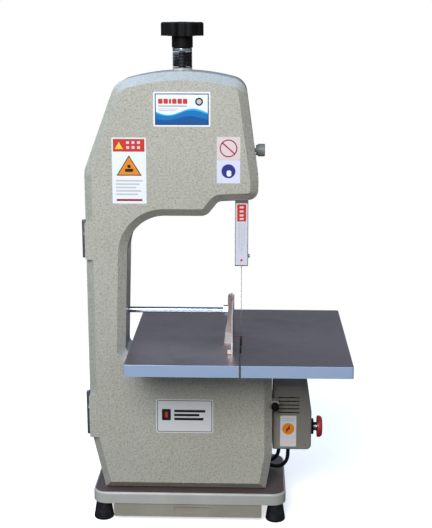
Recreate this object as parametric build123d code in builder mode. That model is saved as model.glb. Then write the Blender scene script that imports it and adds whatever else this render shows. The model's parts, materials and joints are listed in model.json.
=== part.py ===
from build123d import *
import os
from math import pi, radians, tan

# Bench bone saw. Millimetres, +Z up, origin on the floor below the middle of the machine.
# X runs along the table's front edge, Y runs from the operator to the back.

# ---- Driving dimensions -------------------------------------------------------------------
table_top = 380.0
table_width = 430.0
table_depth = 402.0
table_thick = 23.0
table_left = -166.5
table_front = -210.0
plate_thick = 3.0

blade_x = 51.5
blade_y = -19.0
blade_width = 16.0
blade_thick = 0.8
blade_gap = 0.3

wheel_r = 120.0
wheel_x = blade_x - wheel_r - blade_gap - blade_thick / 2
lower_wheel_z = 216.0
upper_wheel_z = 776.0
wheel_front = blade_y - 9.0
wheel_back = blade_y + 11.0
take_up = 10.0

wall = 5.0
door_wall = 4.0
door_gap = 0.5
seam_y = blade_y - 22.0
door_front = seam_y - 24.0
frame_back = seam_y + 72.0
bevel = 16.0

base_bottom = 38.0
base_top = 62.0
base_left = -251.5
base_right = 145.5
base_front = -77.0
base_back = 140.0
foot_r = 21.0
foot_top_r = 15.0
foot_inset = 21.0
foot_setback = 18.0

hinge_x = -259.5
hinge_r = 4.0
pin_r = 2.0
running_gap = 0.05
free_gap = 0.4

rod_r = 6.0
rod_y = blade_y + 20.0
rod_z = table_top + 50.0

knob_z = 978.0
knob_top = 1004.0
screw_x = -66.0
screw_y = 10.0
boss_top = 916.0

guard_left = 38.5
guard_right = 64.5
guard_bottom = 532.0
guard_top = 690.0
lock_z = 757.0

box_left = 117.5
box_right = 197.0
box_bottom = 141.0
box_top = 281.0
box_front = blade_y - 10.0
box_back = blade_y + 70.0
estop_z = 180.0
estop_y = blade_y + 24.0

motor_end = 210.0
motor_r = 72.0

drawer_left = -208.0
drawer_right = 96.0
drawer_bottom = 9.0
drawer_top = 37.0

os.makedirs("parts", exist_ok=True)


def save(piece, name):
    """Label a finished piece and write it to its own file."""
    piece.part.label = name
    export_step(piece.part, "parts/" + name + ".step")


def at_y(y):
    """The upright plane at depth y, seen from the front: its x is X, its y is Z."""
    return Plane.XZ.offset(-y)


def at_x(x):
    """The upright plane at x, seen from the right: its x is Y, its y is Z."""
    return Plane.YZ.offset(x)


# ---- The C-shaped outline of the housing, clockwise from the lower left corner ------------
deck_z = table_top - table_thick - 4.0
side_x = -255.0
throat_x = -181.0
arm_z = 634.0
mouth_z = 663.0
outline = [
    ((-226.5, base_top), 0),
    ((side_x, base_top + 128), 30),
    ((side_x, 722.0), 40),
    ((-191.0, 893.0), 42),
    ((-64.5, 926.5), 390),
    ((57.4, 894.2), 32),
    ((84.0, 705.0), 60),
    ((83.5, mouth_z + 4), 20),
    ((6.0, mouth_z), 14),
    ((-17.0, arm_z), 22),
    ((throat_x + 9, arm_z), 75),
    ((throat_x, deck_z), 12),
    ((114.5, deck_z), 20),
    ((116.5, 140.0), 0),
    ((104.0, base_top), 0),
]
points = [point for point, radius in outline]
corner_radii = [radius for point, radius in outline]


def raised(lift):
    """The outline with its foot lifted, so that a door on it clears the base."""
    return [(x, max(z, base_top + lift)) for x, z in points]


# ---- Base, feet and drawer ----------------------------------------------------------------
base_x = (base_left + base_right) / 2
base_y = (base_front + base_back) / 2
base_w = base_right - base_left
base_d = base_back - base_front
foot_span_x = base_w - 2 * foot_inset
foot_span_y = base_d - 2 * foot_setback
frame_bolts_at = [(x, y) for x in (-192.0, 74.0) for y in (-29.0, 16.0)]

with BuildPart() as base_tray:
    with BuildSketch(Plane.XY.offset(base_bottom)):
        with Locations((base_x, base_y)):
            RectangleRounded(base_w, base_d, 28)
    extrude(amount=base_top - base_bottom)
    fillet(base_tray.faces().sort_by(Axis.Z)[-1].edges(), 5)
    with BuildSketch(Plane.XY.offset(base_bottom)):
        with Locations((base_x, base_y)):
            RectangleRounded(base_w - 2 * wall, base_d - 2 * wall, 23)
    extrude(amount=base_top - base_bottom - wall, mode=Mode.SUBTRACT)
    with Locations((base_x, base_y, base_bottom)):
        with GridLocations(foot_span_x, foot_span_y, 2, 2):
            Cylinder(foot_top_r, base_top - base_bottom - 2, align=(Align.CENTER, Align.CENTER, Align.MIN))
    with Locations((base_x, base_y, base_bottom)):
        with GridLocations(foot_span_x, foot_span_y, 2, 2):
            Cylinder(4.2, 14, align=(Align.CENTER, Align.CENTER, Align.MIN), mode=Mode.SUBTRACT)
    with Locations(*[(x, y, base_top - wall) for x, y in frame_bolts_at]):
        Cylinder(4.2, 3 * wall, mode=Mode.SUBTRACT)
save(base_tray, "base_tray")

feet = GridLocations(foot_span_x, foot_span_y, 2, 2).local_locations
foot_spots = [(base_x + spot.position.X, base_y + spot.position.Y, 0) for spot in feet]
upright = (Align.CENTER, Align.CENTER, Align.MIN)

with BuildPart() as rubber_feet:
    with Locations(*foot_spots):
        Cone(foot_r, foot_top_r, base_bottom, align=upright)
    rims = rubber_feet.edges().filter_by(GeomType.CIRCLE).group_by(Axis.Z)[0]
    fillet(rims, 4)
    with Locations(*foot_spots):
        Cylinder(7.5, 8, align=upright, mode=Mode.SUBTRACT)
        Cylinder(4.2, base_bottom, align=upright, mode=Mode.SUBTRACT)
save(rubber_feet, "rubber_feet")

with BuildPart() as base_bolts:
    with Locations(*foot_spots):
        with Locations((0, 0, 4)):
            Cylinder(6.5, 4, align=upright)
            Cylinder(4.0, base_bottom + 6, align=upright)
    with Locations(*[(x, y, base_top - wall - 6) for x, y in frame_bolts_at]):
        Cylinder(4.0, wall * 2 + 6, align=upright)
        with Locations((0, 0, wall * 2 + 6)):
            Cylinder(7.0, 5, align=upright)
save(base_bolts, "base_bolts")

drawer_w = drawer_right - drawer_left
drawer_x = (drawer_left + drawer_right) / 2
tray_w = drawer_w - 20
tray_back = 110.0
panel_y = base_front + 2
grip_x = -45.0

with BuildPart() as drawer:
    with BuildSketch(at_y(panel_y + 3)):
        with Locations((drawer_x, (drawer_bottom + drawer_top) / 2)):
            RectangleRounded(drawer_w, drawer_top - drawer_bottom, 3)
    extrude(amount=3)
    with BuildSketch(Plane.XY.offset(drawer_bottom + 3)):
        with Locations((drawer_x, (panel_y + 3 + tray_back) / 2)):
            Rectangle(tray_w, tray_back - panel_y - 3)
    extrude(amount=22)
    with BuildSketch(Plane.XY.offset(drawer_bottom + 4.5)):
        with Locations((drawer_x, (panel_y + 3 + tray_back) / 2)):
            Rectangle(tray_w - 3, tray_back - panel_y - 6)
    extrude(amount=30, mode=Mode.SUBTRACT)
    with BuildSketch(at_y(panel_y + 2)):
        with Locations((grip_x, 24)):
            RectangleRounded(78, 13, 2)
    extrude(amount=2, mode=Mode.SUBTRACT)
save(drawer, "drawer")

with BuildPart() as drawer_rails:
    for side in (-1, 1):
        web_x = drawer_x + side * (tray_w / 2 + 2)
        with BuildSketch(at_y(tray_back + 6)):
            with Locations((web_x, (drawer_bottom + base_bottom) / 2 + 0.25)):
                Rectangle(2, base_bottom - drawer_bottom - 0.5)
            with Locations((web_x - side * 4, drawer_bottom + 1.5)):
                Rectangle(10, 2)
        extrude(amount=tray_back + 6 - panel_y - 6)
save(drawer_rails, "drawer_rails")

# ---- Rear frame ---------------------------------------------------------------------------
deck_bolts = [(x, y) for x in (-60.0, 84.0) for y in (-30.0, 16.0)]
latch_x = 121.5
latch_z = 244.0
motor_bolt_r = 73.0
clamp_x = -214.0

with BuildPart() as rear_frame:
    with BuildSketch(at_y(frame_back)):
        with BuildLine():
            FilletPolyline(*points, radius=corner_radii, close=True)
        make_face()
    extrude(amount=frame_back - seam_y)
    fillet(rear_frame.faces().sort_by(Axis.Y)[-1].edges(), 3)
    with BuildSketch(at_y(frame_back - wall)):
        with BuildLine():
            FilletPolyline(*points, radius=corner_radii, close=True)
        make_face()
        offset(amount=-wall)
    extrude(amount=frame_back - wall - seam_y, mode=Mode.SUBTRACT)
    with BuildSketch(at_y(seam_y + 10)):
        with Locations((latch_x - 2, latch_z)):
            RectangleRounded(18, 20, 4)
    extrude(amount=10)
    with BuildSketch(at_y(seam_y + 12)):
        with Locations((latch_x, latch_z)):
            Circle(4.5)
        with Locations((wheel_x, lower_wheel_z)):
            Circle(30)
        with Locations((clamp_x, rod_z)):
            Circle(4.6)
    extrude(amount=-80, mode=Mode.SUBTRACT)
    with BuildSketch(at_y(seam_y + 12)):
        with Locations((latch_x, latch_z)):
            Circle(4.5)
    extrude(amount=20, mode=Mode.SUBTRACT)
    with Locations((box_left, 12, 176), (box_left, 12, 244)):
        Box(12, 26, 16, align=(Align.MAX, Align.CENTER, Align.CENTER))
    with BuildSketch(at_y(frame_back)):
        with Locations((wheel_x, lower_wheel_z)):
            with PolarLocations(motor_bolt_r, 4, start_angle=45):
                Circle(3.4)
    extrude(amount=wall, mode=Mode.SUBTRACT)
    with Locations(((guard_left + guard_right) / 2, (seam_y + 15) / 2, mouth_z + 2)):
        Box(32, 15 - seam_y, 24, mode=Mode.SUBTRACT)
    with Locations((blade_x, seam_y + 19, deck_z)):
        Box(12, 38, 24, mode=Mode.SUBTRACT)
    with Locations(*[(x, y, deck_z) for x, y in deck_bolts]):
        Cylinder(4.2, 4 * wall, mode=Mode.SUBTRACT)
    with Locations(*[(x, y, base_top) for x, y in frame_bolts_at]):
        Cylinder(4.2, 4 * wall, mode=Mode.SUBTRACT)
    with Locations(Location((throat_x, rod_y, rod_z), (0, 90, 0)), Location((side_x, rod_y, rod_z), (0, 90, 0))):
        Cylinder(9, 6 * wall, mode=Mode.SUBTRACT)
    with Locations(Location((80, 5, lock_z), (0, 90, 0))):
        Cylinder(4.6, 8 * wall, mode=Mode.SUBTRACT)
    with Locations((screw_x, screw_y, boss_top - 12)):
        Cylinder(19, 12, align=upright)
        Cylinder(9, 30, mode=Mode.SUBTRACT)
save(rear_frame, "rear_frame")

# ---- Door on the front, with its hinges, seal and latch -----------------------------------
hinge_y = seam_y - door_gap / 2
hinges = {"lower": (177.0, 267.0), "upper": (548.0, 622.0)}

with BuildPart() as door_cavity:
    with BuildSketch(at_y(seam_y)):
        with BuildLine():
            FilletPolyline(*raised(2), radius=corner_radii, close=True)
        make_face()
        offset(amount=-door_wall)
    extrude(amount=seam_y - door_front - door_wall)
    chamfer(door_cavity.faces().sort_by(Axis.Y)[0].edges(), bevel - 2.3)

with BuildPart() as door_shell:
    with BuildSketch(at_y(seam_y - door_gap)):
        with BuildLine():
            FilletPolyline(*raised(2), radius=corner_radii, close=True)
        make_face()
    extrude(amount=seam_y - door_gap - door_front)
    chamfer(door_shell.faces().sort_by(Axis.Y)[0].edges(), bevel)
    for low, high in hinges.values():
        with BuildSketch(at_y(seam_y - door_gap)):
            with Locations((side_x + 9.5, (low + high) / 2)):
                RectangleRounded(19, high - low, 3)
        extrude(amount=seam_y - door_gap - door_front - 0.4)
    add(door_cavity.part, mode=Mode.SUBTRACT)
    with BuildSketch(at_y(seam_y - 0.9)):
        with Locations((latch_x - 0.5, latch_z)):
            RectangleRounded(17, 20, 4)
    extrude(amount=9)
    with BuildSketch(at_y(seam_y)):
        with Locations((latch_x, latch_z)):
            Circle(3.3)
    extrude(amount=12, mode=Mode.SUBTRACT)
save(door_shell, "door_shell")

with BuildPart() as door_seal:
    with BuildSketch(at_y(seam_y - 0.4)):
        with BuildLine():
            FilletPolyline(*raised(2), radius=corner_radii, close=True)
        make_face()
        offset(amount=-door_wall)
    extrude(amount=3.6)
    with BuildSketch(at_y(seam_y)):
        with BuildLine():
            FilletPolyline(*raised(2), radius=corner_radii, close=True)
        make_face()
        offset(amount=-door_wall - 3)
    extrude(amount=5, mode=Mode.SUBTRACT)
save(door_seal, "door_seal")


def knuckles(spans, leaf_low, leaf_high):
    """Hinge barrels over the given heights, each with a leaf against the housing's side."""
    leaf_x = (hinge_x + side_x) / 2
    for low, high in spans:
        with Locations((hinge_x, hinge_y, low)):
            Cylinder(hinge_r, high - low, align=upright)
        with Locations((leaf_x, (leaf_low + leaf_high) / 2, (low + high) / 2)):
            Box(side_x - hinge_x, leaf_high - leaf_low, high - low)
        with Locations((hinge_x, hinge_y, low)):
            Cylinder(pin_r + running_gap, high - low, align=upright, mode=Mode.SUBTRACT)


frame_spans = []
door_spans = []
for low, high in hinges.values():
    third = (high - low) / 3
    frame_spans += [(low, low + third), (high - third, high)]
    door_spans += [(low + third + free_gap, high - third - free_gap)]

with BuildPart() as frame_hinges:
    knuckles(frame_spans, hinge_y + 1, hinge_y + 12)
save(frame_hinges, "frame_hinges")

with BuildPart() as door_hinges:
    knuckles(door_spans, hinge_y - 12, hinge_y - 1)
save(door_hinges, "door_hinges")

with BuildPart() as hinge_pins:
    for low, high in hinges.values():
        with Locations((hinge_x, hinge_y, low)):
            Cylinder(pin_r, high - low, align=upright)
        with Locations((hinge_x, hinge_y, high)):
            Cylinder(3.2, 1.8, align=upright)
save(hinge_pins, "hinge_pins")

knob_back = seam_y - 10.4
with BuildPart() as door_knob:
    with BuildSketch(at_y(knob_back)):
        with Locations((latch_x, latch_z)):
            Circle(8)
    extrude(amount=13)
    fillet(door_knob.faces().sort_by(Axis.Y)[0].edges(), 3)
    with BuildSketch(at_y(knob_back)):
        with Locations((latch_x, latch_z)):
            Circle(3)
    extrude(amount=knob_back - seam_y - 6.5)
save(door_knob, "door_knob")

# ---- Wheels -------------------------------------------------------------------------------
rim_depth = wheel_back - wheel_front
shaft_r = 10.0
bearing_r = 18.0


def turned(z, steps):
    """A turned piece on a wheel's axis: (start, end, radius) along Y, one step after another."""
    for start, end, radius in steps:
        with BuildSketch(at_y(max(start, end))) as disc:
            with Locations((wheel_x, z)):
                Circle(radius)
        extrude(disc.sketch, amount=abs(end - start))


def bored(z, start, end, radius):
    """A round hole on a wheel's axis between two depths."""
    with BuildSketch(at_y(max(start, end))) as hole:
        with Locations((wheel_x, z)):
            Circle(radius)
    extrude(hole.sketch, amount=abs(end - start), mode=Mode.SUBTRACT)


def hex_nut(z, front, thick, width):
    """A hexagon nut on a wheel's axis, with its front face at the given depth."""
    with BuildSketch(at_y(front + thick)) as hexagon:
        with Locations((wheel_x, z)):
            RegularPolygon(width / 2, 6, major_radius=False)
    extrude(hexagon.sketch, amount=thick)


def band_wheel(wheel_z, bore_r):
    """A flanged wheel for the blade, with lightening holes and a hub."""
    with BuildSketch(at_y(wheel_back)) as rim:
        with Locations((wheel_x, wheel_z)):
            Circle(wheel_r)
            Circle(wheel_r - 12, mode=Mode.SUBTRACT)
    extrude(rim.sketch, amount=rim_depth)
    with BuildSketch(at_y(wheel_back)) as flange:
        with Locations((wheel_x, wheel_z)):
            Circle(wheel_r + 3)
            Circle(wheel_r - 12, mode=Mode.SUBTRACT)
    extrude(flange.sketch, amount=2)
    with BuildSketch(at_y(wheel_back - 7)) as web:
        with Locations((wheel_x, wheel_z)):
            Circle(wheel_r - 12)
            with PolarLocations(72, 6, start_angle=30):
                Circle(19, mode=Mode.SUBTRACT)
    extrude(web.sketch, amount=6)
    with BuildSketch(at_y(wheel_back + 1)) as hub:
        with Locations((wheel_x, wheel_z)):
            Circle(27)
    extrude(hub.sketch, amount=rim_depth + 1)
    bored(wheel_z, wheel_front - 2, wheel_back + 2, bore_r)


with BuildPart() as lower_wheel:
    band_wheel(lower_wheel_z, shaft_r + 0.05)
save(lower_wheel, "lower_wheel")

with BuildPart() as upper_wheel:
    band_wheel(upper_wheel_z, bearing_r)
save(upper_wheel, "upper_wheel")


block_front = 0.0
block_back = 20.0
axle_tip = seam_y + 4

with BuildPart() as upper_bearings:
    for start in (wheel_front, wheel_back - 8):
        turned(upper_wheel_z, [(start, start + 8, bearing_r)])
        bored(upper_wheel_z, start, start + 8, shaft_r + running_gap)
save(upper_bearings, "upper_bearings")

with BuildPart() as upper_axle:
    turned(upper_wheel_z, [(block_front, wheel_back + 2, 14), (wheel_back + 2, wheel_front - 1, shaft_r)])
    turned(upper_wheel_z, [(wheel_front - 1, axle_tip, 6), (block_back, block_front, 8)])
save(upper_axle, "upper_axle")

with BuildPart() as axle_nut:
    turned(upper_wheel_z, [(wheel_front - 1, wheel_front - 3, 15)])
    hex_nut(upper_wheel_z, axle_tip + 1, wheel_front - 4 - axle_tip, 18)
    bored(upper_wheel_z, wheel_front, axle_tip, 6.05)
save(axle_nut, "axle_nut")

with BuildPart() as wheel_nut:
    turned(lower_wheel_z, [(wheel_front, wheel_front - 2, 15)])
    hex_nut(lower_wheel_z, axle_tip + 1, wheel_front - 3 - axle_tip, 18)
    bored(lower_wheel_z, wheel_front, axle_tip, 6.05)
save(wheel_nut, "wheel_nut")

# ---- Motor behind the lower wheel ---------------------------------------------------------
flange_end = frame_back + 12
cover_start = 158.0
fan_y = 172.0
shaft_end = fan_y + 12
stator_r = 60.0
rotor_r = 36.0

with BuildPart() as motor_flange:
    turned(lower_wheel_z, [(frame_back, flange_end, 80), (frame_back - wall, frame_back, 29.6)])
    bored(lower_wheel_z, frame_back - wall, flange_end, 22)
    with BuildSketch(at_y(flange_end)):
        with Locations((wheel_x, lower_wheel_z)):
            with PolarLocations(motor_bolt_r, 4, start_angle=45):
                Circle(3.4)
    extrude(amount=12, mode=Mode.SUBTRACT)
save(motor_flange, "motor_flange")

with BuildPart() as motor_housing:
    turned(lower_wheel_z, [(flange_end, cover_start, 65)])
    with BuildSketch(at_y(cover_start - 6)):
        with Locations((wheel_x, lower_wheel_z)):
            with PolarLocations(67.5, 36):
                Rectangle(9, 2.4)
    extrude(amount=cover_start - flange_end - 12)
    bored(lower_wheel_z, flange_end, cover_start - 5, stator_r)
    bored(lower_wheel_z, cover_start - 5, cover_start, 22)
save(motor_housing, "motor_housing")

with BuildPart() as stator:
    turned(lower_wheel_z, [(flange_end + 12, cover_start - 16, stator_r)])
    bored(lower_wheel_z, flange_end + 12, cover_start - 16, rotor_r + 1)
save(stator, "stator")

with BuildPart() as motor_bearings:
    turned(lower_wheel_z, [(frame_back - wall, flange_end, 22), (cover_start - 5, cover_start, 22)])
    bored(lower_wheel_z, frame_back - wall, cover_start, shaft_r + running_gap)
save(motor_bearings, "motor_bearings")

with BuildPart() as motor_shaft:
    turned(lower_wheel_z, [(flange_end + 12, cover_start - 16, rotor_r)])
    turned(lower_wheel_z, [(shaft_end, wheel_front, shaft_r), (wheel_front, axle_tip, 6)])
    turned(lower_wheel_z, [(wheel_back + 1.2, wheel_back + 5, 14)])
save(motor_shaft, "motor_shaft")

with BuildPart() as motor_fan:
    turned(lower_wheel_z, [(fan_y - 6, fan_y + 12, 17)])
    turned(lower_wheel_z, [(fan_y - 6, fan_y - 4, 58)])
    with BuildSketch(at_y(fan_y + 10)):
        with Locations((wheel_x, lower_wheel_z)):
            with PolarLocations(37, 9):
                Rectangle(42, 2)
    extrude(amount=16)
    bored(lower_wheel_z, fan_y - 8, fan_y + 14, shaft_r + 0.05)
save(motor_fan, "motor_fan")

with BuildPart() as cover_cavity:
    turned(lower_wheel_z, [(cover_start - 5, motor_end - 2.5, 72.1)])
    fillet(cover_cavity.faces().sort_by(Axis.Y)[-1].edges(), 6)

with BuildPart() as fan_cover:
    turned(lower_wheel_z, [(cover_start - 4, motor_end, 74.5)])
    fillet(fan_cover.faces().sort_by(Axis.Y)[-1].edges(), 8)
    add(cover_cavity.part, mode=Mode.SUBTRACT)
    with BuildSketch(at_y(motor_end)):
        with Locations((wheel_x, lower_wheel_z)):
            for ring, count in ((20, 6), (34, 10), (48, 14)):
                with PolarLocations(ring, count):
                    RectangleRounded(11, 7, 3)
    extrude(amount=4, mode=Mode.SUBTRACT)
save(fan_cover, "fan_cover")

with BuildPart() as motor_bolts:
    for start, end, radius in ((frame_back - wall - 1, flange_end, 3.2), (flange_end, flange_end + 5, 5.5)):
        with BuildSketch(at_y(end)) as shank:
            with Locations((wheel_x, lower_wheel_z)):
                with PolarLocations(motor_bolt_r, 4, start_angle=45):
                    Circle(radius)
        extrude(shank.sketch, amount=end - start)
save(motor_bolts, "motor_bolts")

# ---- Saw blade loop and its guides --------------------------------------------------------
blade_path_r = wheel_r + blade_gap


def race_track(radius):
    """The loop around both wheels, at the given distance from their centres."""
    with Locations((wheel_x, (upper_wheel_z + lower_wheel_z) / 2)):
        SlotCenterToCenter(upper_wheel_z - lower_wheel_z, 2 * radius, rotation=90)


with BuildPart() as saw_blade:
    with BuildSketch(at_y(blade_y + blade_width / 2)):
        race_track(blade_path_r + blade_thick)
    extrude(amount=blade_width)
    with BuildSketch(at_y(blade_y + blade_width / 2)):
        race_track(blade_path_r)
    extrude(amount=blade_width, mode=Mode.SUBTRACT)
save(saw_blade, "saw_blade")


def guide_block(low, high, back):
    """A block around the blade's back edge, slotted from the front."""
    with Locations((blade_x + 1, (blade_y - 5 + back) / 2, (low + high) / 2)):
        Box(21, back - blade_y + 5, high - low)
    with Locations((blade_x, blade_y, (low + high) / 2)):
        Box(blade_thick + 1.2, blade_width + 1, high - low, mode=Mode.SUBTRACT)


with BuildPart() as lower_blade_guide:
    guide_block(318.0, 336.0, frame_back - wall)
save(lower_blade_guide, "lower_blade_guide")

with BuildPart() as blade_scrapers:
    for side in (-1, 1):
        with Locations((blade_x + side * 6.5, (blade_y - 4 + frame_back - wall) / 2, 304)):
            Box(11, frame_back - wall - blade_y + 4, 5)
    with Locations((wheel_x, blade_y - 1, base_top + wall)):
        Box(26, 20, lower_wheel_z - blade_path_r - blade_thick - 1 - base_top - wall, align=upright)
save(blade_scrapers, "blade_scrapers")

# ---- Blade tension: slide block, rails, screw and knob ------------------------------------
block_w = 60.0
block_low = 742.0
block_high = 812.0
rail_low = 716.0
rail_high = 836.0
thread_r = 6.0
sleeve_top = 948.0
ring_top = 955.0
neck_r = 20.5

with BuildPart() as slide_block:
    with Locations((wheel_x, (block_front + block_back) / 2, block_low)):
        Box(block_w, block_back - block_front, block_high - block_low, align=upright)
    fillet(slide_block.edges().filter_by(Axis.Y), 5)
    bored(upper_wheel_z, block_front, block_back, 8.05)
    with Locations((screw_x, screw_y, block_high)):
        Cylinder(thread_r + free_gap, 44, mode=Mode.SUBTRACT)
save(slide_block, "slide_block")

with BuildPart() as tension_rails:
    for side in (-1, 1):
        with BuildSketch(Plane.XY.offset(rail_low)) as rail:
            with Locations((wheel_x + side * (block_w / 2 + 6.4), (frame_back - wall + block_front) / 2 - 2)):
                Rectangle(12, frame_back - wall - block_front + 4)
            with Locations((wheel_x + side * (block_w / 2 + 1), block_front - 2.4)):
                Rectangle(14, 3.2)
        extrude(rail.sketch, amount=rail_high - rail_low)
save(tension_rails, "tension_rails")

with BuildPart() as tension_screw:
    with Locations((screw_x, screw_y, block_high - 16)):
        Cylinder(thread_r, knob_z + 6 - block_high + 16, align=upright)
save(tension_screw, "tension_screw")

with BuildPart() as tension_spring:
    with Locations((screw_x, screw_y, boss_top)):
        Cylinder(18.0, sleeve_top - boss_top, align=upright)
    for turn in range(7):
        with Locations((screw_x, screw_y, boss_top + 2.8 + 4.4 * turn)):
            Torus(17.4, 2.0)
    with Locations((screw_x, screw_y, 900)):
        Cylinder(thread_r + 1, 60, align=upright, mode=Mode.SUBTRACT)
save(tension_spring, "tension_spring")

with BuildPart() as tension_ring:
    with Locations((screw_x, screw_y, sleeve_top)):
        Cylinder(19.0, ring_top - sleeve_top - 0.4, align=upright)
    fillet(tension_ring.edges().filter_by(GeomType.CIRCLE), 1.2)
    with Locations((screw_x, screw_y, sleeve_top)):
        Cylinder(thread_r + 0.3, 20, mode=Mode.SUBTRACT)
save(tension_ring, "tension_ring")

with BuildPart() as tension_knob:
    with Locations((screw_x, screw_y, ring_top)):
        Cylinder(neck_r, knob_z - ring_top, align=upright)
    fillet(tension_knob.edges().filter_by(GeomType.CIRCLE).sort_by(Axis.Z)[0], 2)
    with BuildSketch(Plane.XY.offset(knob_z)):
        with Locations((screw_x, screw_y)):
            Circle(33)
            with PolarLocations(30.5, 6):
                Circle(11)
        fillet(vertices(), 5)
    extrude(amount=knob_top - knob_z)
    fillet(tension_knob.faces().sort_by(Axis.Z)[-1].edges(), 4)
    with Locations((screw_x, screw_y, ring_top)):
        Cylinder(thread_r, knob_z + 6 - ring_top, align=upright, mode=Mode.SUBTRACT)
save(tension_knob, "tension_knob")

# ---- Blade guard on its guide bar ---------------------------------------------------------
sheet = 1.5
bar_left = blade_x - 7.5
bar_right = blade_x + 4.5
plate_x = guard_right - sheet
bar_front = 1.0
bar_back = 9.0
bar_top = 815.0
guard_front = seam_y + 1.0

with BuildPart() as guard_channel:
    with BuildSketch(Plane.XY.offset(guard_bottom)):
        with Locations(((guard_left + guard_right) / 2, guard_front + sheet / 2)):
            Rectangle(guard_right - guard_left, sheet)
        with Locations((guard_right - sheet / 2, (guard_front + bar_back) / 2)):
            Rectangle(sheet, bar_back - guard_front)
        with Locations((guard_left + sheet / 2, guard_front + 5)):
            Rectangle(sheet, 10)
    extrude(amount=guard_top - guard_bottom)
save(guard_channel, "guard_channel")

with BuildPart() as guide_bar:
    with Locations(((bar_left + bar_right) / 2, (bar_front + bar_back) / 2, guard_bottom + 30)):
        Box(bar_right - bar_left, bar_back - bar_front, bar_top - guard_bottom - 30, align=upright)
    with Locations(((bar_right + plate_x) / 2, (bar_front + bar_back) / 2, guard_bottom + 40)):
        Box(plate_x - bar_right, bar_back - bar_front, 100, align=upright)
save(guide_bar, "guide_bar")

with BuildPart() as upper_blade_guide:
    guide_block(guard_bottom + 4, guard_bottom + 22, -2.0)
    with Locations((plate_x - 2, blade_y + 6, guard_bottom + 13)):
        Box(4, 20, 18)
save(upper_blade_guide, "upper_blade_guide")

clamp_low = lock_z - 12
clamp_high = lock_z + 15
with BuildPart() as guard_clamp_block:
    with Locations(((bar_left + bar_right) / 2, (frame_back - wall + bar_front - 7) / 2, clamp_low)):
        Box(bar_right - bar_left + 12, frame_back - wall - bar_front + 7, clamp_high - clamp_low, align=upright)
    with Locations(((bar_left + bar_right) / 2, (bar_front + bar_back) / 2, lock_z)):
        Box(bar_right - bar_left + 0.8, bar_back - bar_front + 0.8, 60, mode=Mode.SUBTRACT)
    with Locations(Location((bar_right + 6, 5, lock_z), (0, 90, 0))):
        Cylinder(4.4, 14, mode=Mode.SUBTRACT)
save(guard_clamp_block, "guard_clamp_block")

lock_x = 78.5
with BuildPart() as guard_lock_knob:
    for start, end, radius in ((bar_right + 0.3, lock_x, 4.0), (lock_x, lock_x + 4, 10.5), (lock_x + 4, 96.5, 12.5)):
        with BuildSketch(at_x(start)) as disc:
            with Locations((5, lock_z)):
                Circle(radius)
        extrude(disc.sketch, amount=end - start)
    fillet(guard_lock_knob.edges().filter_by(GeomType.CIRCLE).sort_by(Axis.X)[-1], 2)
save(guard_lock_knob, "guard_lock_knob")

# ---- Fence: plate, rod through the column, and its lock -----------------------------------
fence_x = 36.5
fence_low = table_top + 0.5
fence_high = table_top + 73.5
fence_back = 41.0
fence_front = -141.0
flange_left = 24.2
column_left = side_x + 2

with BuildPart() as fence_plate:
    with Locations(((2 * fence_x - plate_thick) / 2, (fence_front + fence_back) / 2, fence_low)):
        Box(plate_thick, fence_back - fence_front, fence_high - fence_low, align=upright)
    with BuildSketch(at_y(10)):
        with BuildLine():
            Polyline(
                (fence_x - plate_thick, fence_low),
                (flange_left - 6, fence_low),
                (flange_left, rod_z - 13),
                (flange_left, fence_high + 5.5),
                (flange_left + 4, fence_high + 10),
                (fence_x - plate_thick, fence_high + 11),
                close=True,
            )
        make_face()
    extrude(amount=15)
    with Locations(((18.5 + fence_x - 1) / 2, (fence_back - 70) / 2, fence_low)):
        Box(fence_x - 1 - 18.5, fence_back + 70, 2.5, align=upright)
    with Locations((fence_x - 5.5, fence_front + 1.5, fence_low + 1)):
        Box(9, 3, 8, align=upright)
save(fence_plate, "fence_plate")

with BuildPart() as fence_rod:
    with BuildSketch(at_x(column_left)):
        with Locations((rod_y, rod_z)):
            Circle(rod_r)
    extrude(amount=flange_left - column_left)
    chamfer(fence_rod.edges().filter_by(GeomType.CIRCLE).sort_by(Axis.X)[0], 1)
save(fence_rod, "fence_rod")

with BuildPart() as fence_nut:
    with BuildSketch(at_x(flange_left - 9)):
        with Locations((rod_y, rod_z)):
            RegularPolygon(9.5, 6, major_radius=False)
            Circle(rod_r + 0.05, mode=Mode.SUBTRACT)
    extrude(amount=9)
save(fence_nut, "fence_nut")

with BuildPart() as rod_bushes:
    for start in (side_x, throat_x - wall + 0.6):
        with BuildSketch(at_x(start)):
            with Locations((rod_y, rod_z)):
                Circle(8.9)
                Circle(rod_r + 0.06, mode=Mode.SUBTRACT)
        extrude(amount=6)
save(rod_bushes, "rod_bushes")

with BuildPart() as fence_clamp_block:
    with Locations((clamp_x, (frame_back - wall + rod_y - 9) / 2, rod_z)):
        Box(26, frame_back - wall - rod_y + 9, 28)
    with Locations(Location((clamp_x, rod_y, rod_z), (0, 90, 0))):
        Cylinder(rod_r + free_gap, 40, mode=Mode.SUBTRACT)
    with BuildSketch(at_y(frame_back)):
        with Locations((clamp_x, rod_z)):
            Circle(4.4)
    extrude(amount=frame_back - rod_y, mode=Mode.SUBTRACT)
save(fence_clamp_block, "fence_clamp_block")

with BuildPart() as fence_lock_knob:
    for start, end, radius in ((rod_y + rod_r + 0.3, frame_back + 2, 4), (frame_back + 2, frame_back + 20, 15)):
        with BuildSketch(at_y(end)) as disc:
            with Locations((clamp_x, rod_z)):
                Circle(radius)
        extrude(disc.sketch, amount=end - start)
    fillet(fence_lock_knob.faces().sort_by(Axis.Y)[-1].edges(), 4)
save(fence_lock_knob, "fence_lock_knob")

# ---- Table --------------------------------------------------------------------------------
table_x = table_left + table_width / 2
table_y = table_front + table_depth / 2
table_low = table_top - table_thick
slot_w = 4.0
slot_end = blade_y + blade_width / 2 + 4

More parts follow.
